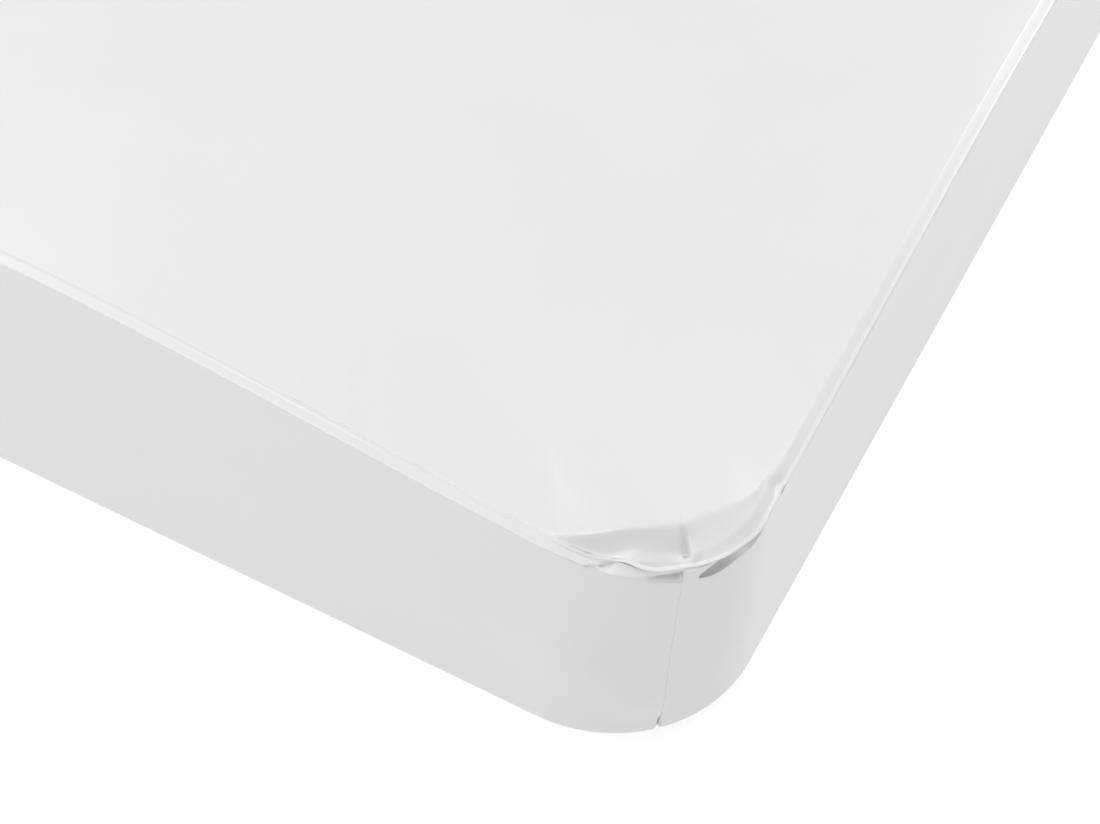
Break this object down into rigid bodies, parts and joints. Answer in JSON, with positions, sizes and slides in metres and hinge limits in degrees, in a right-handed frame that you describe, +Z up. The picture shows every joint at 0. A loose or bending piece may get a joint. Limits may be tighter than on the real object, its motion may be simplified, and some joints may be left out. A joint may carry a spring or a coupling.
{
  "type": "mattress cover on a mattress",
  "caption": "Smooth white fitted cover with boxed sides, a raised seam round its top and upright seams at its rounded corners, on a plain single mattress.",
  "frame": {"origin": "on the floor under the middle of the covered mattress", "axes": "+Z up, Y along the mattress's length with its head at +Y, X across it"},
  "size_m": [0.9687, 1.9096, 0.235],
  "materials": {
    "cover_cloth": "smooth coated knit, satin",
    "mattress_ticking": "plain woven, matte"
  },
  "bodies": {
    "root": {"top_panel": "cover_cloth", "side_panel_foot": "cover_cloth", "side_panel_head": "cover_cloth", "side_panel_left": "cover_cloth", "side_panel_right": "cover_cloth", "mattress": "mattress_ticking"}
  },
  "joints": []
}
